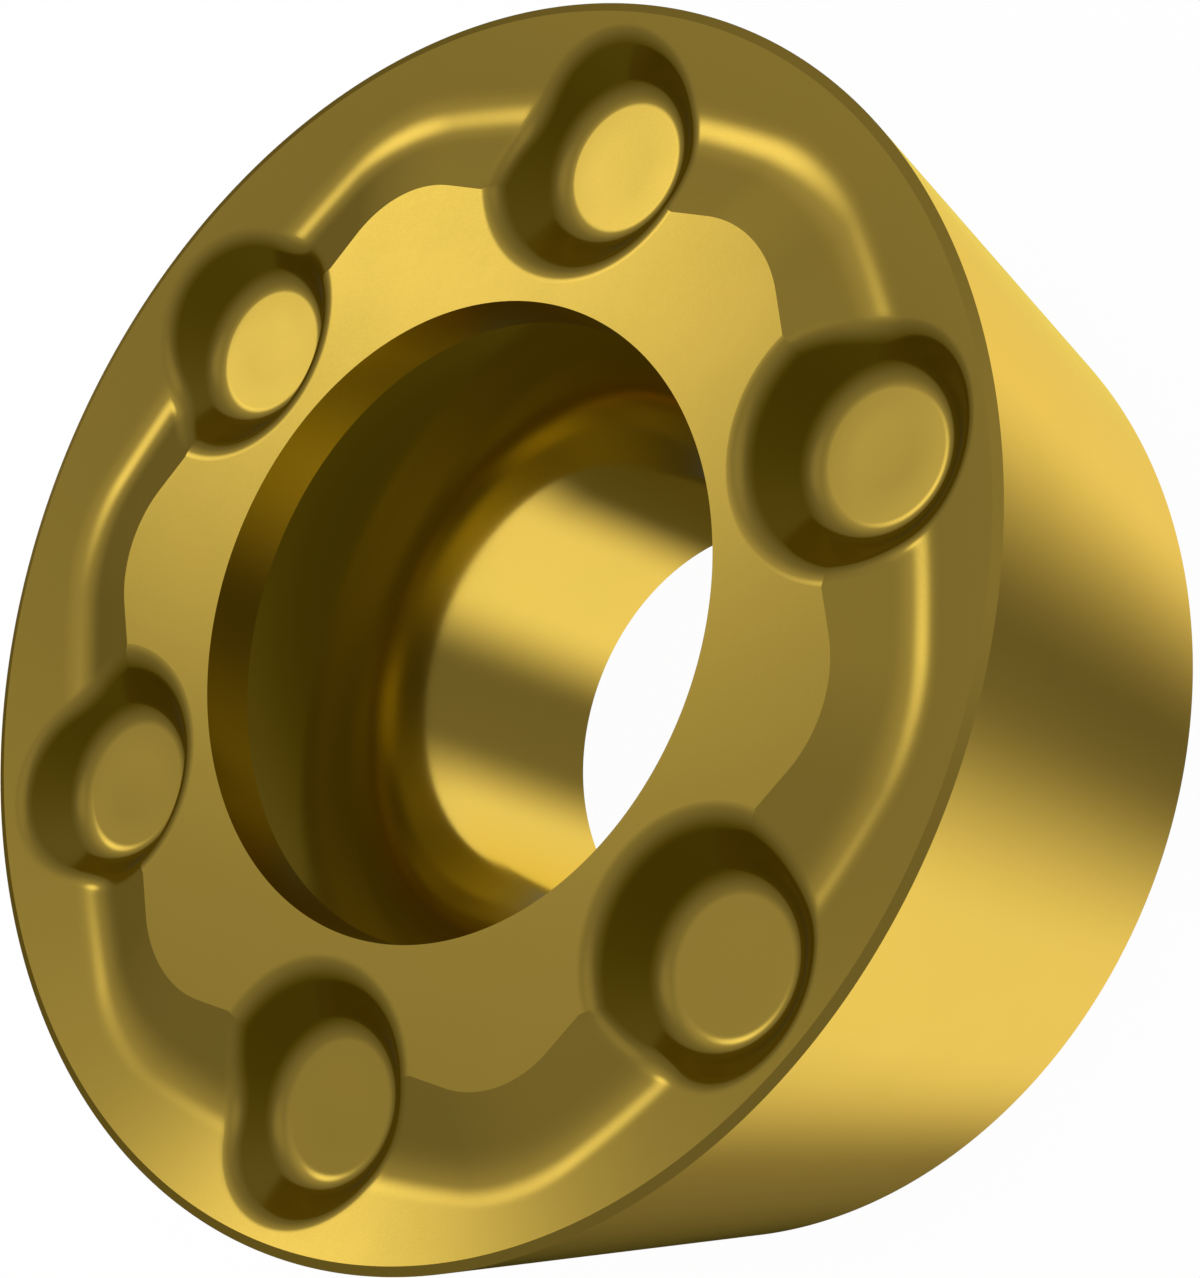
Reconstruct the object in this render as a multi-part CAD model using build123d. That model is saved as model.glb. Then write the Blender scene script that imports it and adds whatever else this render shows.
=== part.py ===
from build123d import *
import os
from math import radians, sqrt, tan

# Round carbide cutting insert, pressed and sintered in one piece.
# It stands on its flat seat, with the origin at the seat's centre and +Z up the
# screw hole, towards the cutting edge. One dimple lies on the +X side.
# Lengths are in millimetres and angles in degrees.

# Body
cutting_diameter = 12.0  # across the round cutting edge
thickness = 4.76  # from the seat to the flat platform round the hole
clearance_angle = 11.0  # lean of the flank, which narrows towards the seat

# Cutting edge and rake face
land_width = 0.09  # narrow land that backs up the cutting edge
land_angle = 22.0  # fall of the land, outwards
rake_angle = 14.5  # fall of the rake face, inwards

# Platform: a hexagon with rounded corners, raised in the middle of the rake face
platform_corner_round = 1.11
platform_wall_angle = 13.2  # slope of its walls, from the level
platform_foot = 0.08  # how far its foot is sunk below the deepest part of the valley
valley_round = 1.06  # hollow curve from the platform's wall to the rake face

# Dimples, one in the middle of each side of the platform, as wide as the face allows
dimple_count = 6
dimple_mouth_gap = 0.20  # from the hole's mouth to a dimple's rounded edge
dimple_land_gap = 0.02  # from a dimple's rounded edge, at the platform's height, to the land
dimple_overhang = 0.53  # from the platform's side out to the dimples' centres
dimple_depth = 0.535  # below the platform
dimple_wall_angle = 51.5  # slope of its wall, from the level
dimple_floor_round = 0.30  # hollow curve from the floor to the wall
dimple_edge_round = 0.30  # round over the upper edge

# Screw hole
bore_diameter = 4.4  # clears an M4 screw
throat_round = 3.6  # bulging curve that the screw head bears on
mouth_diameter = 6.1
mouth_depth = 0.51  # steep band at the top of the hole
mouth_draft = 5.0  # lean of that band, so that the press punch comes out


def level_slope(angle):
    """Rise for each millimetre of run, for an angle measured from the level."""
    return tan(radians(angle))


# Heights and radii that follow from the sizes above
edge_radius = cutting_diameter / 2
edge_height = thickness - land_width * level_slope(land_angle)
seat_radius = edge_radius - edge_height * level_slope(clearance_angle)
land_inner_radius = edge_radius - land_width

# A dimple fills the face between mouth and land, and the platform's side crosses it
mouth_radius = mouth_diameter / 2
dimple_width = land_inner_radius - dimple_land_gap - mouth_radius - dimple_mouth_gap
dimple_ring_radius = mouth_radius + dimple_mouth_gap + dimple_width / 2
platform_reach = dimple_ring_radius - dimple_overhang

# The valley is deepest at the middle of a side, where wall and rake face run furthest
valley_run = land_inner_radius - platform_reach
valley_depth = valley_run / (1 / level_slope(rake_angle) + 1 / level_slope(platform_wall_angle))
platform_height = valley_depth + platform_foot
dish_radius = land_inner_radius - platform_height / level_slope(rake_angle)

throat_radius = mouth_radius - mouth_depth * level_slope(mouth_draft)
throat_top = thickness - mouth_depth
throat_width = throat_radius - bore_diameter / 2
bore_length = throat_top - sqrt(throat_round**2 - (throat_round - throat_width) ** 2)


def turned(*section):
    """Solid of revolution about Z from lines that close a section in the XZ plane."""
    return revolve(Plane.XZ * make_face(section), Axis.Z)


def make_blank():
    """Seat, flank, land and rake face, with the middle dished out for the platform."""
    dish_height = thickness - platform_height
    section = Polyline(
        (0, 0),
        (seat_radius, 0),
        (edge_radius, edge_height),
        (land_inner_radius, thickness),
        (dish_radius, dish_height),
        (0, dish_height),
        close=True,
    )
    # The turn starts between two dimples, so that no dimple crosses its seam
    return Rot(Z=180 / dimple_count) * turned(section)


def make_platform():
    """Raised hexagon whose walls spread downwards into the rake face."""
    hexagon = RegularPolygon(
        platform_reach, dimple_count, major_radius=False, rotation=180 / dimple_count
    )
    top = fillet(hexagon.vertices(), platform_corner_round)
    spread = 90 - platform_wall_angle
    return extrude(Plane.XY.offset(thickness) * top, -platform_height, taper=-spread)


def make_dimple_cutter():
    """Cone with a flat, rounded floor at Z zero, tall enough to clear the platform."""
    wall_run = 1 / level_slope(dimple_wall_angle)
    edge_corner = dimple_width / 2 - dimple_edge_round * level_slope(dimple_wall_angle / 2)
    floor_corner = edge_corner - dimple_depth * wall_run
    height = dimple_depth + dimple_edge_round
    section = Polyline(
        (0, 0), (floor_corner, 0), (floor_corner + height * wall_run, height), (0, height), close=True
    )
    cone = turned(section)
    floor_edge = cone.edges().filter_by(GeomType.CIRCLE).sort_by(Axis.Z)[0]
    return fillet(floor_edge, dimple_floor_round)


def make_screw_hole():
    """Straight bore, bulging throat and steep mouth, as the space that they leave."""
    bore_radius = bore_diameter / 2
    throat = TangentArc((bore_radius, bore_length), (throat_radius, throat_top), tangent=(0, 1))
    below = Polyline((0, 0), (bore_radius, 0), (bore_radius, bore_length))
    above = Polyline(
        (throat_radius, throat_top), (mouth_radius, thickness), (0, thickness), (0, 0)
    )
    return turned(below, throat, above)


def make_insert():
    """Whole insert: valley and dimple edges are rounded where the forms meet."""
    blank = make_blank()
    platform = make_platform()
    body = blank + platform
    body = fillet(new_edges(blank, platform, combined=body), valley_round)

    dimple_floor = thickness - dimple_depth
    cutter = Pos(dimple_ring_radius, 0, dimple_floor) * make_dimple_cutter()
    cutters = [Rot(Z=step * 360 / dimple_count) * cutter for step in range(dimple_count)]
    dimpled = body - cutters
    dimpled = fillet(new_edges(body, *cutters, combined=dimpled), dimple_edge_round)

    return dimpled - make_screw_hole()


os.makedirs("parts", exist_ok=True)
insert = make_insert()
insert.label = "round_insert"
export_step(insert, "parts/round_insert.step")
print(f"bore length {bore_length:.3f} mm, seat radius {seat_radius:.3f} mm, volume {insert.volume:.2f} mm3")
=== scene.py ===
"""Looks of a round carbide cutting insert: its gold coating, a plain studio and the camera."""

import logging
from dataclasses import dataclass
from enum import Enum
from math import acos, atan, cos, hypot, pi, radians, sin, sqrt, tan

import bpy
from mathutils import Matrix, Vector


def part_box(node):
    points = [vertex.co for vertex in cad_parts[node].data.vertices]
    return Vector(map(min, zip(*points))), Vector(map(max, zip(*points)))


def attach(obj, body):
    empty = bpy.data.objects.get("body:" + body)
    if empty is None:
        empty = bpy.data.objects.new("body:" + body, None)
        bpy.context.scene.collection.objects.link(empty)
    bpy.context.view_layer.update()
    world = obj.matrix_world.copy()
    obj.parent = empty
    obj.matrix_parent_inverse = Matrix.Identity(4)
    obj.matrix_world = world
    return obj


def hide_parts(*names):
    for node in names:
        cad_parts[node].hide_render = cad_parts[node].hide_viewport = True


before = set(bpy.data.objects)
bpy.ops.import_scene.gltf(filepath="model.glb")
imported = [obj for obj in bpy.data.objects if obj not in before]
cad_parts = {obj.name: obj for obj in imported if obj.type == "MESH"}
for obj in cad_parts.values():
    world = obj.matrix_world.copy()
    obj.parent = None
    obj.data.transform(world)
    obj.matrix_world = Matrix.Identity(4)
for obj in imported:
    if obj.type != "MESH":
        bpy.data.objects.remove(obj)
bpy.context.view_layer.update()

MM = 0.001
log = logging.getLogger("insert")
Point = tuple[float, float, float]
Colour = tuple[float, float, float]
Shade = Colour | bpy.types.NodeSocket
BLACK: Colour = (0.0, 0.0, 0.0)
WHITE: Colour = (1.0, 1.0, 1.0)
EAST = Vector((1, 0, 0))
DOWN = Vector((0, 0, -1))


@dataclass(frozen=True)
class InsertShape:
    """Sizes of the insert, in metres and radians, and the height of its upper face."""

    # Body, whose first two sizes come from the solid
    edge_radius: float
    thickness: float
    clearance: float = radians(11.0)

    # Cutting edge and rake face
    land_width: float = 0.09 * MM
    land_fall: float = radians(22.0)
    rake: float = radians(14.5)

    # Platform, its wall, and the hollow curve between that wall and the rake face
    corner_round: float = 1.20 * MM
    wall_slope: float = radians(15.7)
    valley_round: float = 0.97 * MM

    # Dimples, which fill the face between the hole's mouth and the land
    dimple_count: int = 6
    mouth_gap: float = 0.20 * MM
    land_gap: float = 0.02 * MM
    overhang: float = 0.517 * MM
    dimple_depth: float = 0.535 * MM
    dimple_wall: float = radians(51.5)
    floor_round: float = 0.30 * MM
    rim_round: float = 0.30 * MM

    # Screw hole
    bore_radius: float = 2.2 * MM
    throat_round: float = 3.6 * MM
    mouth_radius: float = 3.05 * MM
    mouth_depth: float = 0.51 * MM
    mouth_draft: float = radians(5.0)

    # Search for the line where a dimple's rounded edge runs out into the face
    search_steps: int = 40
    probe: float = 0.0005 * MM
    edge_softness: float = 0.02 * MM

    @property
    def land_radius(self) -> float:
        """Radius where the rake face starts."""
        return self.edge_radius - self.land_width

    @property
    def edge_height(self) -> float:
        """Height of the cutting edge above the seat."""
        return self.thickness - self.land_width * tan(self.land_fall)

    @property
    def seat_radius(self) -> float:
        """Outer radius of the flat seat."""
        return self.edge_radius - self.edge_height * tan(self.clearance)

    @property
    def dimple_reach(self) -> float:
        """Radius of a dimple's rounded edge where it runs on the flat platform."""
        return (self.land_radius - self.land_gap - self.mouth_radius - self.mouth_gap) / 2

    @property
    def dimple_ring(self) -> float:
        """Distance from the axis to the dimples' centres."""
        return self.mouth_radius + self.mouth_gap + self.dimple_reach

    @property
    def platform_reach(self) -> float:
        """Distance from the axis to the middle of a platform side."""
        return self.dimple_ring - self.overhang

    @property
    def floor_height(self) -> float:
        """Height of the dimples' floors above the seat."""
        return self.thickness - self.dimple_depth

    @property
    def floor_corner(self) -> float:
        """Radius where a dimple's wall would meet its floor without the curve between them."""
        edge_corner = self.dimple_reach - self.rim_round * tan(self.dimple_wall / 2)
        return edge_corner - self.dimple_depth / tan(self.dimple_wall)

    @property
    def half_sector(self) -> float:
        """Angle from the middle of a dimple to the platform's next corner."""
        return pi / self.dimple_count

    @property
    def corner_centre(self) -> tuple[float, float]:
        """Centre of the arc that rounds the platform's corner."""
        x = self.platform_reach - self.corner_round
        return x, x * tan(self.half_sector)

    def platform_distance(self, x: float, y: float) -> float:
        """Tells how far the platform's wall has spread where it passes under a point.

        The wall's corners keep one round from top to foot, as on a filleted pyramid.

        Args:
            x: Distance from the axis towards the dimple's middle.
            y: Distance sideways, from zero up to the line through the platform's corner.

        Returns:
            The spread, measured square to a side and below zero on the platform.
        """
        corner_rise = tan(self.half_sector)
        if y <= (x - self.corner_round) * corner_rise:
            return x - self.platform_reach
        along = x + y * corner_rise
        square = 1 + corner_rise**2
        centre_x = (along - sqrt(along**2 - square * (x**2 + y**2 - self.corner_round**2))) / square
        return centre_x + self.corner_round - self.platform_reach

    def base_height(self, x: float, y: float, softness: float = 0.0) -> float:
        """Gives the height of the upper face as it would be without dimples.

        Args:
            x: Distance from the axis towards the dimple's middle.
            y: Distance sideways, from zero up to the line through the platform's corner.
            softness: Width over which the wall's slope sets in at the platform's sharp edge.

        Returns:
            The height above the seat.
        """
        outside = max(self.platform_distance(x, y), 0.0)
        if outside < softness:
            outside = outside**2 / softness / 2
        else:
            outside -= softness / 2
        wall_rise, rake_rise = tan(self.wall_slope), tan(self.rake)
        wall = self.thickness - outside * wall_rise
        face = self.thickness - (self.land_radius - hypot(x, y)) * rake_rise
        along = (face - wall) / (wall_rise + rake_rise)

        tangent = self.valley_round * tan((self.wall_slope + self.rake) / 2)
        if along <= -tangent * cos(self.wall_slope):
            return wall
        if along >= tangent * cos(self.rake):
            return face
        middle = tangent * cos(self.rake) - self.valley_round * sin(self.rake)
        centre = tangent * sin(self.rake) + self.valley_round * cos(self.rake)
        arc = sqrt(self.valley_round**2 - (along - middle) ** 2)
        return wall + along * wall_rise + centre - arc

    def dimple_point(self, azimuth: float, reach: float, height: float) -> Point:
        """Turns a place given round the dimple's own centre into x, y and z."""
        return self.dimple_ring + reach * cos(azimuth), reach * sin(azimuth), height

    def rim_contact(self, azimuth: float) -> tuple[float, float, float]:
        """Finds where a dimple's rounded edge runs out into the face.

        Args:
            azimuth: Direction round the dimple's centre, zero being outwards.

        Returns:
            Radius and height of the contact, and the slope of the face there.
        """
        wall_rise = tan(self.dimple_wall)
        low, high = self.floor_corner, 2 * self.dimple_reach
        for _ in range(self.search_steps):
            reach = (low + high) / 2
            x, y, _z = self.dimple_point(azimuth, reach, 0.0)
            height = self.base_height(x, y, self.edge_softness)
            x, y, _z = self.dimple_point(azimuth, reach + self.probe, 0.0)
            rise = (self.base_height(x, y, self.edge_softness) - height) / self.probe
            level = height - rise * reach
            crossing = (level - self.floor_height + wall_rise * self.floor_corner) / (wall_rise - rise)
            turn = self.dimple_wall - atan(rise)
            contact = crossing + self.rim_round * tan(turn / 2) * cos(atan(rise))
            if contact > reach:
                low = reach
            else:
                high = reach
        x, y, _z = self.dimple_point(azimuth, reach, 0.0)
        return reach, self.base_height(x, y), atan(rise)

    def dimple_profile(self, azimuth: float, floor_steps: int, rim_steps: int) -> list[tuple[float, float]]:
        """Draws the section of a dimple in one direction, from its centre to the face.

        Args:
            azimuth: Direction round the dimple's centre, zero being outwards.
            floor_steps: Steps round the hollow curve at the floor.
            rim_steps: Steps round the bulging curve at the upper edge.

        Returns:
            Radius and height of each point.
        """
        flat = self.floor_corner - self.floor_round * tan(self.dimple_wall / 2)
        section = [(0.0, self.floor_height), (flat / 2, self.floor_height)]
        for step in range(floor_steps + 1):
            turn = self.dimple_wall * step / floor_steps
            rise = self.floor_round * (1 - cos(turn))
            section.append((flat + self.floor_round * sin(turn), self.floor_height + rise))

        reach, height, slope = self.rim_contact(azimuth)
        centre_reach = reach + self.rim_round * sin(slope)
        centre_height = height - self.rim_round * cos(slope)
        for step in range(rim_steps + 1):
            turn = self.dimple_wall + (slope - self.dimple_wall) * step / rim_steps
            section.append(
                (centre_reach - self.rim_round * sin(turn), centre_height + self.rim_round * cos(turn))
            )
        return section


def blend(start: Point, end: Point, share: float) -> Point:
    """Returns the point that lies a share of the way from start to end."""
    return tuple(a + (b - a) * share for a, b in zip(start, end))


def polar(radius: float, angle: float, height: float) -> Point:
    """Returns the point at a radius and angle round the axis."""
    return radius * cos(angle), radius * sin(angle), height


def stretch(near: list[Point], far: list[Point], left: list[Point], right: list[Point]) -> list[list[Point]]:
    """Spreads rows of points between four edges that meet at their ends.

    Args:
        near: First row.
        far: Last row, with as many points.
        left: First point of each row.
        right: Last point of each row.

    Returns:
        The rows, whose bends change evenly from one edge to the opposite one.
    """
    rows = []
    for step in range(len(left)):
        along = step / (len(left) - 1)
        row = []
        for column in range(len(near)):
            across = column / (len(near) - 1)
            sides = blend(left[step], right[step], across)
            ends = blend(near[column], far[column], along)
            corners = blend(blend(near[0], near[-1], across), blend(far[0], far[-1], across), along)
            row.append(tuple(side + end - corner for side, end, corner in zip(sides, ends, corners)))
        rows.append(row)
    return rows


def edit(obj: bpy.types.Object) -> None:
    """Opens one object in edit mode with all of its mesh selected."""
    bpy.ops.object.select_all(action="DESELECT")
    bpy.context.view_layer.objects.active = obj
    obj.select_set(True)
    bpy.ops.object.mode_set(mode="EDIT")
    bpy.ops.mesh.select_all(action="SELECT")


def surface_patch(rows: list[list[Point]]) -> bpy.types.Object:
    """Lays a grid over a surface.

    Args:
        rows: Lines of points that run across the surface, all of one length.

    Returns:
        The mesh, with one corner at each point.
    """
    bpy.ops.object.select_all(action="DESELECT")
    columns = len(rows[0]) - 1
    bpy.ops.mesh.primitive_grid_add(x_subdivisions=columns, y_subdivisions=len(rows) - 1, size=1)
    patch = bpy.context.object
    for vertex in patch.data.vertices:
        column = round((vertex.co.x + 0.5) * columns)
        row = round((vertex.co.y + 0.5) * (len(rows) - 1))
        vertex.co = rows[row][column]
    return patch


def ring_stack(segments: int, rings: list[tuple[float, float]]) -> bpy.types.Object:
    """Turns a section about the axis, by drawing out one circle ring by ring.

    Args:
        segments: Number of flats round the axis.
        rings: Radius and height of each ring.

    Returns:
        The open, turned mesh.
    """
    bpy.ops.object.select_all(action="DESELECT")
    radius, height = rings[0]
    bpy.ops.mesh.primitive_circle_add(vertices=segments, radius=radius, location=(0, 0, height))
    shell = bpy.context.object
    bpy.ops.object.transform_apply(location=True, rotation=True, scale=True)
    edit(shell)
    for next_radius, next_height in rings[1:]:
        rise = (0, 0, next_height - height)
        bpy.ops.mesh.extrude_edges_move(TRANSFORM_OT_translate={"value": rise})
        spread = next_radius / radius
        bpy.ops.transform.resize(value=(spread, spread, 1), center_override=(0, 0, 0))
        radius, height = next_radius, next_height
    bpy.ops.object.mode_set(mode="OBJECT")
    return shell


@dataclass
class UpperFace:
    """Platform, dimples, valley and rake face, as patches for half of one sector."""

    shape: InsertShape
    outer_turns: int = 44
    inner_turns: int = 38
    edge_steps: int = 32
    land_steps: int = 2
    flat_steps: int = 6
    flat_bunching: int = 3
    floor_steps: int = 12
    rim_steps: int = 14

    def crossing_azimuth(self) -> float:
        """Gives the direction in which a dimple's rounded edge meets the platform's side."""
        return acos(-self.shape.overhang / self.shape.dimple_reach)

    def azimuths(self) -> list[float]:
        """Lists the directions round a dimple, from outwards to inwards."""
        crossing = self.crossing_azimuth()
        outer = [crossing * turn / self.outer_turns for turn in range(self.outer_turns)]
        share = (pi - crossing) / self.inner_turns
        return outer + [crossing + share * turn for turn in range(self.inner_turns + 1)]

    def outline(self) -> list[Point]:
        """Lists the points where a dimple runs out into the face, from outwards to inwards."""
        points = []
        for azimuth in self.azimuths():
            reach, height, _slope = self.shape.rim_contact(azimuth)
            points.append(self.shape.dimple_point(azimuth, reach, height))
        return points

    def platform_edge(self) -> list[Point]:
        """Lists points along the platform's edge, from the dimple to the corner."""
        shape = self.shape
        centre_x, centre_y = shape.corner_centre
        start = self.outline()[self.outer_turns]
        straight = centre_y - start[1]
        length = straight + shape.corner_round * shape.half_sector
        points = [start]
        for step in range(1, self.edge_steps + 1):
            run = length * step / self.edge_steps
            if run <= straight:
                points.append((shape.platform_reach, start[1] + run, shape.thickness))
                continue
            turn = (run - straight) / shape.corner_round
            x, y, z = polar(shape.corner_round, turn, shape.thickness)
            points.append((centre_x + x, centre_y + y, z))
        return points

    def dimple_patch(self) -> bpy.types.Object:
        """Half a dimple: floor, hollow curve, wall and rounded edge."""
        rows = []
        for azimuth in self.azimuths():
            section = self.shape.dimple_profile(azimuth, self.floor_steps, self.rim_steps)
            rows.append([self.shape.dimple_point(azimuth, reach, height) for reach, height in section])
        return surface_patch(rows)

    def platform_patch(self) -> bpy.types.Object:
        """Flat ring between the hole's mouth and the dimple and platform edge."""
        outer = self.outline()[:self.outer_turns:-1] + self.platform_edge()
        steps = len(outer) - 1
        mouth = [
            polar(self.shape.mouth_radius, self.shape.half_sector * step / steps, self.shape.thickness)
            for step in range(steps + 1)
        ]
        # All is level but the last, narrow row, where a dimple's edge may lie a shade lower
        level = [(x, y, self.shape.thickness) for x, y, _z in outer]
        shares = [1 - (1 - step / self.flat_steps) ** self.flat_bunching for step in range(self.flat_steps)]
        rows = [[blend(a, b, share) for a, b in zip(mouth, level)] for share in shares]
        return surface_patch([*rows, outer])

    def slope_patch(self) -> bpy.types.Object:
        """Platform wall, valley and rake face, stretched between their four edges."""
        shape = self.shape
        near = self.platform_edge()
        far = [
            polar(shape.land_radius, shape.half_sector * step / self.edge_steps, shape.thickness)
            for step in range(self.edge_steps + 1)
        ]
        dimple = self.outline()[self.outer_turns::-1]
        tail = [blend(dimple[-1], far[0], step / self.land_steps) for step in range(1, self.land_steps + 1)]
        left = dimple + tail
        steps = len(left) - 1
        right = [blend(near[-1], far[-1], step / steps) for step in range(steps + 1)]

        grid = stretch(near, far, left, right)
        rows = [[(x, y, shape.base_height(x, y)) for x, y, _z in row] for row in grid]
        rows[0], rows[-1] = near, far
        for row, edge in zip(rows, left):
            row[0] = edge
        return surface_patch(rows)

    def build(self) -> list[bpy.types.Object]:
        """Builds every patch of half a sector."""
        return [self.dimple_patch(), self.platform_patch(), self.slope_patch()]


@dataclass
class TurnedBody:
    """Land, flank and screw hole, all round about the axis."""

    shape: InsertShape
    edge_segments: int
    hole_segments: int
    throat_steps: int = 18

    def flank(self) -> bpy.types.Object:
        """Land behind the cutting edge, and the flank down to the seat."""
        shape = self.shape
        rings = [
            (shape.land_radius, shape.thickness),
            (shape.edge_radius, shape.edge_height),
            (shape.seat_radius, 0.0),
        ]
        return ring_stack(self.edge_segments, rings)

    def hole(self) -> bpy.types.Object:
        """Mouth, bulging throat and straight bore, from the platform down to the seat."""
        shape = self.shape
        throat_top = shape.thickness - shape.mouth_depth
        throat_radius = shape.mouth_radius - shape.mouth_depth * tan(shape.mouth_draft)
        centre = shape.bore_radius + shape.throat_round
        reach = (centre - throat_radius) / shape.throat_round
        full_turn = acos(reach)
        throat_foot = throat_top - shape.throat_round * sin(full_turn)
        rings = [(shape.mouth_radius, shape.thickness)]
        for step in range(self.throat_steps + 1):
            turn = full_turn * (1 - step / self.throat_steps)
            rise = shape.throat_round * sin(turn)
            rings.append((centre - shape.throat_round * cos(turn), throat_foot + rise))
        rings.append((shape.bore_radius, 0.0))
        return ring_stack(self.hole_segments, rings)


@dataclass
class RoundInsert:
    """The whole insert, as one closed mesh in its coating."""

    node: str = "round_insert"
    slot: str = "coated_carbide"
    piece_name: str = "coated_insert"
    merge_distance: float = 0.0005 * MM
    crease: float = radians(12.0)

    def join(self, parts: list[bpy.types.Object]) -> bpy.types.Object:
        """Joins meshes into the first of them."""
        bpy.ops.object.select_all(action="DESELECT")
        for part in parts:
            part.select_set(True)
        bpy.context.view_layer.objects.active = parts[0]
        bpy.ops.object.join()
        return parts[0]

    def repeat(self, half: bpy.types.Object, count: int) -> None:
        """Mirrors half a sector and copies it round the axis.

        Args:
            half: Mesh of half a sector, with its straight side on the X axis.
            count: Number of sectors in the full turn.
        """
        mirror = half.modifiers.new("other_half", "MIRROR")
        mirror.use_axis = (False, True, False)
        mirror.merge_threshold = self.merge_distance
        bpy.ops.object.select_all(action="DESELECT")
        bpy.context.view_layer.objects.active = half
        half.select_set(True)
        bpy.ops.object.modifier_apply(modifier=mirror.name)
        edit(half)
        bpy.ops.mesh.spin(
            steps=count - 1, angle=2 * pi * (count - 1) / count, dupli=True,
            center=(0, 0, 0), axis=(0, 0, 1),
        )
        bpy.ops.object.mode_set(mode="OBJECT")

    def close(self, body: bpy.types.Object) -> None:
        """Closes the seat between flank and bore, and turns all faces outwards."""
        edit(body)
        bpy.ops.mesh.remove_doubles(threshold=self.merge_distance)
        bpy.ops.mesh.select_all(action="DESELECT")
        bpy.ops.object.mode_set(mode="OBJECT")
        for edge in body.data.edges:
            ends = (body.data.vertices[index].co.z for index in edge.vertices)
            edge.select = all(abs(z) < self.merge_distance for z in ends)
        bpy.ops.object.mode_set(mode="EDIT")
        bpy.ops.mesh.select_mode(type="EDGE")
        bpy.ops.mesh.fill(use_beauty=True)
        bpy.ops.mesh.select_all(action="SELECT")
        bpy.ops.mesh.normals_make_consistent(inside=False)
        bpy.ops.object.mode_set(mode="OBJECT")

    def build(self) -> bpy.types.Object:
        """Builds the mesh, dresses it and puts it in the place of its solid.

        Returns:
            The finished piece.
        """
        low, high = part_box(self.node)
        reach = max(high.x, high.y, -low.x, -low.y)
        shape = InsertShape(edge_radius=reach, thickness=high.z - low.z)
        face = UpperFace(shape)
        half = self.join(face.build())
        self.repeat(half, shape.dimple_count)
        halves = 2 * shape.dimple_count
        turned = TurnedBody(
            shape,
            edge_segments=halves * face.edge_steps,
            hole_segments=halves * (face.edge_steps + face.inner_turns),
        )
        body = self.join([half, turned.flank(), turned.hole()])
        body.name = self.piece_name
        body.data.name = self.piece_name
        self.close(body)
        bpy.ops.object.shade_smooth_by_angle(angle=self.crease)
        body.data.materials.append(NitrideCoating().build())
        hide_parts(self.node)
        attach(body, "root")
        return body


class Operation(Enum):
    """Arithmetic that a Math node does for the shaders."""

    ADD = "ADD"
    SUBTRACT = "SUBTRACT"
    MULTIPLY = "MULTIPLY"
    DIVIDE = "DIVIDE"
    ROOT = "SQRT"
    ARC_COSINE = "ARCCOSINE"
    GREATER = "GREATER_THAN"


def opaque(colour: Colour) -> tuple[float, float, float, float]:
    """Adds full opacity to a colour."""
    return (*colour, 1.0)


class Graph:
    """Fills one node tree."""

    # A Mix node repeats its sockets' names for each type, so its colours go by number
    MIX_SHARE, MIX_FIRST, MIX_SECOND, MIXED = 0, 6, 7, 2

    def __init__(self, tree: bpy.types.NodeTree) -> None:
        """Empties the tree and keeps it."""
        self.tree = tree
        tree.nodes.clear()

    def node(self, kind: str, settings: dict, sockets: dict) -> bpy.types.Node:
        """Adds a node.

        Args:
            kind: The node's type, without its Shader prefix.
            settings: Properties to set first.
            sockets: Value, Value object or output for each input, by name or number.

        Returns:
            The new node.
        """
        made = self.tree.nodes.new("ShaderNode" + kind)
        for key, setting in settings.items():
            setattr(made, key, setting)
        for key, fed in sockets.items():
            if isinstance(fed, Value):
                fed = fed.socket
            if isinstance(fed, bpy.types.NodeSocket):
                self.tree.links.new(fed, made.inputs[key])
            else:
                made.inputs[key].default_value = fed
        return made

    def mix(self, share: "Value", first: Shade, second: Shade) -> bpy.types.NodeSocket:
        """Mixes two colours.

        Args:
            share: How much of the second colour is taken, from 0 to 1.
            first: Plain colour or colour socket.
            second: Plain colour or colour socket.

        Returns:
            The mixed colour's socket.
        """
        first, second = (opaque(shade) if isinstance(shade, tuple) else shade for shade in (first, second))
        sockets = {self.MIX_SHARE: share, self.MIX_FIRST: first, self.MIX_SECOND: second}
        return self.node("Mix", {"data_type": "RGBA"}, sockets).outputs[self.MIXED]

    def along(self, way: bpy.types.NodeSocket, axis: Vector) -> "Value":
        """Measures a vector along a fixed direction."""
        made = self.node("VectorMath", {"operation": "DOT_PRODUCT"}, {0: way, 1: tuple(axis)})
        return Value(self, made.outputs["Value"])


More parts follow.
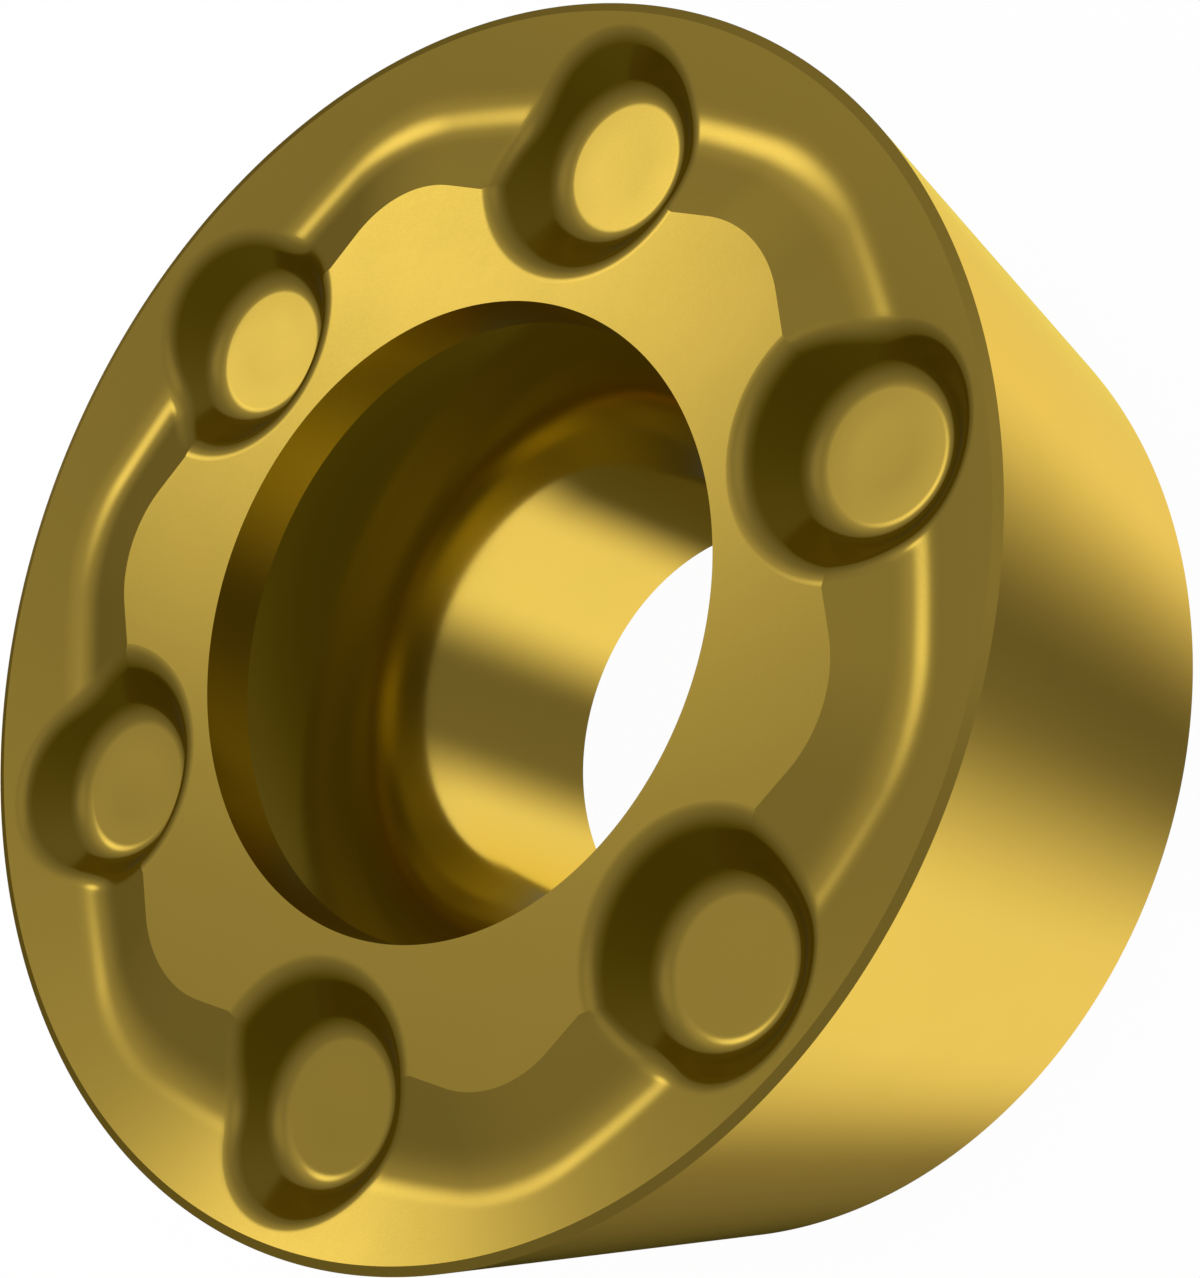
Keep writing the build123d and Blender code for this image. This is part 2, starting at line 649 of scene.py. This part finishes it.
class Value:
    """A number that varies in a shader, and takes part in plain arithmetic."""

    def __init__(self, graph: Graph, socket: bpy.types.NodeSocket) -> None:
        """Wraps a socket of the graph."""
        self.graph = graph
        self.socket = socket

    def _math(self, operation: Operation, *terms: "Value | float") -> "Value":
        """Adds a Math node for one or two values."""
        made = self.graph.node("Math", {"operation": operation.value}, dict(enumerate(terms)))
        return Value(self.graph, made.outputs[0])

    def __add__(self, other: "Value | float") -> "Value":
        """Sum."""
        return self._math(Operation.ADD, self, other)

    def __sub__(self, other: "Value | float") -> "Value":
        """Difference."""
        return self._math(Operation.SUBTRACT, self, other)

    def __mul__(self, other: "Value | float") -> "Value":
        """Product."""
        return self._math(Operation.MULTIPLY, self, other)

    def __truediv__(self, other: "Value | float") -> "Value":
        """Quotient."""
        return self._math(Operation.DIVIDE, self, other)

    def __radd__(self, other: "Value | float") -> "Value":
        """Sum with a plain number first."""
        return self._math(Operation.ADD, other, self)

    def __rsub__(self, other: "Value | float") -> "Value":
        """Difference with a plain number first."""
        return self._math(Operation.SUBTRACT, other, self)

    def __rmul__(self, other: "Value | float") -> "Value":
        """Product with a plain number first."""
        return self._math(Operation.MULTIPLY, other, self)

    def root(self) -> "Value":
        """Square root."""
        return self._math(Operation.ROOT, self)

    def angle(self) -> "Value":
        """Angle whose cosine this is."""
        return self._math(Operation.ARC_COSINE, self)

    def past(self, count: int) -> "Value":
        """Tells whether this is above a count: 1 if so, else 0."""
        return self._math(Operation.GREATER, self, count)

    def smooth(self, low: float, high: float) -> "Value":
        """Rises smoothly from 0 at low to 1 at high."""
        settings = {"interpolation_type": "SMOOTHSTEP"}
        made = self.graph.node("MapRange", settings, {"Value": self, "From Min": low, "From Max": high})
        return Value(self.graph, made.outputs["Result"])


@dataclass(frozen=True)
class NitrideCoating:
    """Gold nitride coating, a few thousandths of a millimetre thick, over sintered carbide."""

    name: str = "gold_nitride_coating"
    gold: Colour = (0.930, 0.640, 0.108)
    thin_gold: Colour = (0.915, 0.636, 0.105)
    edge_tint: Colour = (0.97, 0.88, 0.64)
    cloud_size: float = 1.1 * MM
    cloud_detail: float = 3.0
    cloud_tint: tuple[float, float] = (0.35, 0.65)
    cloud_share: float = 0.5
    grain_size: float = 0.022 * MM
    grain_detail: float = 2.0
    grain_height: float = 0.00012 * MM
    patch_contrast: tuple[float, float] = (0.3, 0.7)
    smoothest: float = 0.11
    roughest: float = 0.17
    # Painted glow: past this many mirrors the metal glows faintly in this colour, a painted stand-in for
    # light trapped deep in the hole
    painted_glow_after: int = 2
    painted_glow_colour: Colour = (0.017, 0.032, 0.09)

    def noise(self, graph: Graph, size: float, detail: float) -> Value:
        """Gives an even, cloudy pattern on the piece's own coordinates.

        Args:
            graph: Graph that takes the nodes.
            size: Rough width of one patch.
            detail: Number of finer layers.

        Returns:
            The pattern, about 0.5 on average.
        """
        place = graph.node("TexCoord", {}, {}).outputs["Object"]
        made = graph.node("TexNoise", {}, {"Vector": place, "Scale": 1 / size, "Detail": detail})
        return Value(graph, made.outputs[0])

    def build(self) -> bpy.types.Material:
        """Builds the material."""
        material = bpy.data.materials.new(self.name)
        material.use_nodes = True
        graph = Graph(material.node_tree)
        clouds = self.noise(graph, self.cloud_size, self.cloud_detail)
        grain = self.noise(graph, self.grain_size, self.grain_detail)

        # The film is a touch thinner in places, and pressed powder leaves a fine, even grain
        colour = graph.mix(clouds.smooth(*self.cloud_tint), self.gold, self.thin_gold)
        cloudy = clouds.smooth(*self.patch_contrast) * self.cloud_share
        grainy = grain.smooth(*self.patch_contrast) * (1 - self.cloud_share)
        roughness = (cloudy + grainy) * (self.roughest - self.smoothest) + self.smoothest
        bump = graph.node("Bump", {}, {"Strength": 1.0, "Distance": self.grain_height, "Height": grain})

        # Painted light: past a few mirrors the metal glows with a faint, even painted glow, which stands in
        # for light that is mirrored over and over deep in the hole
        depth = Value(graph, graph.node("LightPath", {}, {}).outputs["Glossy Depth"])
        painted_glow = graph.mix(depth.past(self.painted_glow_after), BLACK, self.painted_glow_colour)
        metal = graph.node("BsdfPrincipled", {}, {
            "Base Color": colour,
            "Metallic": 1.0,
            "Roughness": roughness,
            "Specular Tint": opaque(self.edge_tint),
            # The emission is painted light, the glow that stands in for light trapped in the hole
            "Emission Color": painted_glow,
            "Emission Strength": 1.0,
            "Normal": bump.outputs[0],
        })
        graph.node("OutputMaterial", {}, {"Surface": metal.outputs[0]})
        return material


def heading(azimuth: float, elevation: float) -> Vector:
    """Returns the direction at an azimuth from +X and an elevation, in degrees."""
    level = cos(radians(elevation))
    turn = radians(azimuth)
    return Vector((level * cos(turn), level * sin(turn), sin(radians(elevation))))


@dataclass(frozen=True)
class Lamp:
    """Round, soft light somewhere round the insert, seen only in the metal; angles in degrees."""

    azimuth: float
    elevation: float
    full: float
    reach: float
    strength: float

    def seen(self, graph: Graph, way: bpy.types.NodeSocket) -> Value:
        """Gives the lamp's brightness in a direction, which fades from full to 0 at its reach."""
        off = graph.along(way, heading(self.azimuth, self.elevation)).angle()
        return (1 - off.smooth(radians(self.full), radians(self.reach))) * self.strength


@dataclass(frozen=True)
class Panel:
    """White panel that stands round the foot of the studio, seen only in the metal; in degrees."""

    middle: float
    half_width: float
    softness: float
    strength: float

    def seen(self, turn: tuple[Value, Value]) -> Value:
        """Tells how much of the panel is seen in a direction.

        Args:
            turn: Cosine and sine of the direction's azimuth.

        Returns:
            The panel's strength, fading to 0 past its sides.
        """
        off = (turn[0] * cos(radians(self.middle)) + turn[1] * sin(radians(self.middle))).angle()
        near, far = self.half_width - self.softness, self.half_width + self.softness
        return (1 - off.smooth(radians(near), radians(far))) * self.strength


@dataclass(frozen=True)
class PanelRing:
    """Ring of panels round the foot of the studio, and the wall behind, brighter on one side."""

    wall: float
    swing: float
    bright_side: float
    panels: tuple[Panel, ...]

    def seen(self, turn: tuple[Value, Value]) -> Value:
        """Gives the ring's brightness in a direction.

        Args:
            turn: Cosine and sine of the direction's azimuth.

        Returns:
            The brightness of the wall and the panels together.
        """
        side = radians(self.bright_side)
        total = (turn[0] * cos(side) + turn[1] * sin(side)) * self.swing + self.wall
        for panel in self.panels:
            total = total + panel.seen(turn)
        return total


@dataclass(frozen=True)
class Studio:
    """White studio with a pale floor, soft lamps high up behind, and low white panels."""

    # Floor
    floor_radius: float = 1.5
    floor_sides: int = 96
    floor_depth: float = 0.002 * MM
    floor_white: float = 0.94
    floor_glow: float = 0.97

    # Upper part of the studio
    ceiling: float = 0.047
    lamps: tuple[Lamp, ...] = (
        Lamp(azimuth=74.25, elevation=41.06, full=1.2, reach=12.6, strength=0.721),
        Lamp(azimuth=71.2, elevation=42.3, full=0.0, reach=34.2, strength=0.146),
        Lamp(azimuth=64.5, elevation=60.6, full=0.0, reach=101.7, strength=0.176),
        Lamp(azimuth=-10.0, elevation=68.0, full=4.0, reach=26.0, strength=0.060),
    )

    # Panels low down, in two rings about the foot; degrees from the foot where the rings change
    foot: Vector = Vector((0.0386, 0.2798, -1.0)).normalized()
    low_ring: PanelRing = PanelRing(wall=0.075, swing=0.198, bright_side=-138.6, panels=(
        Panel(middle=-126.8, half_width=32.2, softness=20.6, strength=0.624),
        Panel(middle=26.5, half_width=64.9, softness=29.5, strength=0.951),
    ))
    high_ring: PanelRing = PanelRing(wall=0.130, swing=0.043, bright_side=-40.0, panels=(
        Panel(middle=-128.2, half_width=32.7, softness=16.1, strength=0.778),
        Panel(middle=28.2, half_width=63.7, softness=17.0, strength=0.709),
    ))
    ring_change: tuple[float, float] = (28.0, 33.0)

    # Sines of the angles below the horizon between which the panels come into view
    skyline: tuple[float, float] = (0.02, 0.36)

    # Warmth of what is dim, and an amber card that keeps the flank golden at a grazing angle
    dim: tuple[float, float] = (0.02, 0.16)
    shade_tint: Colour = (1.07, 0.97, 0.0)
    card: Lamp = Lamp(azimuth=83.5, elevation=-48.0, full=10.0, reach=62.0, strength=1.0)
    card_tint: Colour = (1.06, 0.93, 0.20)

    # What the metal mirrors by way of itself, with a tint for two, three and four mirrors
    inner: float = 0.06
    inner_rise: tuple[float, float] = (-0.1, 0.25)
    inner_lamps: tuple[Lamp, ...] = (
        Lamp(azimuth=15.0, elevation=-20.0, full=0.0, reach=95.0, strength=0.21),
        Lamp(azimuth=-115.0, elevation=-30.0, full=0.0, reach=90.0, strength=0.08),
    )
    inner_sky: Lamp = Lamp(azimuth=35.0, elevation=35.0, full=0.0, reach=120.0, strength=0.045)
    inner_tints: tuple[Colour, ...] = ((0.86, 1.0, 0.66), (0.84, 1.35, 3.4), (0.5, 1.0, 6.0))

    def build(self) -> bpy.types.Object:
        """Builds the surroundings and the floor, and returns the floor."""
        self.build_world()
        return self.build_floor()

    def build_floor(self) -> bpy.types.Object:
        """Adds the floor, which glows white to the camera under the shadow that it keeps."""
        bpy.ops.object.select_all(action="DESELECT")
        place = (0, 0, -self.floor_depth)
        bpy.ops.mesh.primitive_circle_add(
            vertices=self.floor_sides, radius=self.floor_radius, fill_type="NGON", location=place
        )
        floor = bpy.context.object
        floor.name = "studio_floor"
        material = bpy.data.materials.new("pale_floor")
        material.use_nodes = True
        graph = Graph(material.node_tree)
        paint = graph.node("BsdfDiffuse", {}, {"Color": opaque((self.floor_white,) * 3)})
        glow = graph.node("Emission", {}, {"Color": opaque(WHITE), "Strength": 1.0})
        path = graph.node("LightPath", {}, {})
        seen = Value(graph, path.outputs["Is Camera Ray"]) * self.floor_glow
        mixed = graph.node("MixShader", {}, {0: seen, 1: paint.outputs[0], 2: glow.outputs[0]})
        graph.node("OutputMaterial", {}, {"Surface": mixed.outputs[0]})
        floor.data.materials.append(material)
        floor.visible_glossy = False
        return floor

    def upper(self, graph: Graph, way: bpy.types.NodeSocket) -> Value:
        """Gives the brightness of the upper part of the studio in a direction."""
        total = self.lamps[0].seen(graph, way) + self.ceiling
        for lamp in self.lamps[1:]:
            total = total + lamp.seen(graph, way)
        return total

    def lower(self, graph: Graph, way: bpy.types.NodeSocket) -> Value:
        """Gives the brightness of the panels round the foot of the studio in a direction."""
        east = (EAST - self.foot * self.foot.x).normalized()
        north = east.cross(self.foot)
        x, y = graph.along(way, east), graph.along(way, north)
        length = (x * x + y * y).root()
        turn = (x / length, y / length)
        low, high = self.ring_change
        far = graph.along(way, self.foot).angle().smooth(radians(low), radians(high))
        return self.low_ring.seen(turn) * (1 - far) + self.high_ring.seen(turn) * far

    def straight_light(self, graph: Graph, way: bpy.types.NodeSocket) -> Value:
        """Gives the brightness that the metal mirrors straight away in a direction."""
        fall = graph.along(way, DOWN).smooth(*self.skyline)
        return self.lower(graph, way) * fall + self.upper(graph, way) * (1 - fall)

    def inner_light(self, graph: Graph, way: bpy.types.NodeSocket) -> Value:
        """Gives the brightness that it mirrors by way of itself, in the hole and the dimples."""
        below = graph.along(way, DOWN).smooth(*self.inner_rise)
        total = self.inner_sky.seen(graph, way) + self.inner
        for lamp in self.inner_lamps:
            total = total + lamp.seen(graph, way) * below
        return total

    def build_world(self) -> None:
        """Lights the scene evenly, and gives the metal the lamps and panels to mirror."""
        world = bpy.data.worlds.new("studio")
        bpy.context.scene.world = world
        world.use_nodes = True
        # No ray is aimed at the lamps, because only what the metal mirrors may see them
        world.cycles.sampling_method = "NONE"
        graph = Graph(world.node_tree)
        way = graph.node("TexCoord", {}, {}).outputs["Generated"]
        path = graph.node("LightPath", {}, {})
        glossy = Value(graph, path.outputs["Is Glossy Ray"])
        depth = Value(graph, path.outputs["Glossy Depth"])

        straight = self.straight_light(graph, way)
        colour = graph.mix(straight.smooth(*self.dim), self.shade_tint, WHITE)
        colour = graph.mix(self.card.seen(graph, way), colour, self.card_tint)
        for mirrors, tint in enumerate(self.inner_tints, start=1):
            colour = graph.mix(depth.past(mirrors), colour, tint)
        again = depth.past(1)
        mirrored = straight * (1 - again) + self.inner_light(graph, way) * again

        # All but mirrored light sees plain white
        colour = graph.mix(glossy, WHITE, colour)
        strength = mirrored * glossy + (1 - glossy)
        sky = graph.node("Background", {}, {"Color": colour, "Strength": strength})
        graph.node("OutputWorld", {}, {"Surface": sky.outputs[0]})


@dataclass(frozen=True)
class PhotoCamera:
    """Camera of the photograph, as its sight lines onto the insert's circles give it."""

    place: Vector = Vector((-2.2614, -22.9656, 28.3582)) * MM
    right: Vector = Vector((0.28789, -0.72855, -0.62156))
    ahead: Vector = Vector((0.07518, 0.66423, -0.74374))
    lens: float = 101.15
    sensor: float = 36.0
    nearest: float = 1 * MM
    farthest: float = 10.0

    def build(self) -> bpy.types.Object:
        """Adds the camera and makes it the scene's own."""
        bpy.ops.object.camera_add()
        camera = bpy.context.object
        camera.name = "photo_camera"
        up = self.right.cross(self.ahead)
        turned = Matrix((self.right, up, -self.ahead)).transposed().to_4x4()
        camera.matrix_world = Matrix.Translation(self.place) @ turned
        camera.data.lens = self.lens
        camera.data.sensor_width = self.sensor
        camera.data.clip_start = self.nearest
        camera.data.clip_end = self.farthest
        bpy.context.scene.camera = camera
        return camera


def main() -> None:
    """Builds the insert, the studio and the camera."""
    logging.basicConfig(level=logging.INFO, format="%(name)s: %(message)s")
    bpy.context.scene.view_settings.view_transform = "Standard"
    insert = RoundInsert().build()
    log.info("%s has %d faces", insert.name, len(insert.data.polygons))
    floor = Studio().build()
    log.info("%s is %.1f m across", floor.name, floor.dimensions.x)
    camera = PhotoCamera().build()
    log.info("%s has a %.0f mm lens", camera.name, camera.data.lens)


if __name__ == "__main__":
    main()
